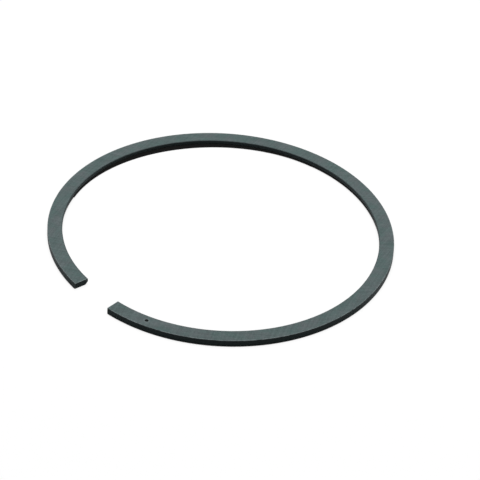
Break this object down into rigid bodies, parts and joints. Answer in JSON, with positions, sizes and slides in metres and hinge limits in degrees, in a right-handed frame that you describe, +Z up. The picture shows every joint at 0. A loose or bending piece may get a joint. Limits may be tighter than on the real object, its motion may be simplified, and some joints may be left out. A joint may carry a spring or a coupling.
{
  "type": "piston ring",
  "caption": "Split compression ring in its free shape: rectangular section with a slightly tapered running face, a bevelled lower inner corner and a punched pip on the upper side.",
  "frame": {"origin": "middle of the free ring's box in plan, on the plane that its lower side rests on", "axes": "+Z up out of the upper, pip-marked side; -Y through the gap; +X to the right seen from the gap, on the side of the pip"},
  "size_m": [0.107, 0.1042, 0.002],
  "materials": {
    "coated_iron": "phosphate coated, satin dark grey with a green cast; flats lighter than the walls"
  },
  "bodies": {
    "root": {"piston_ring": "coated_iron"}
  },
  "joints": []
}
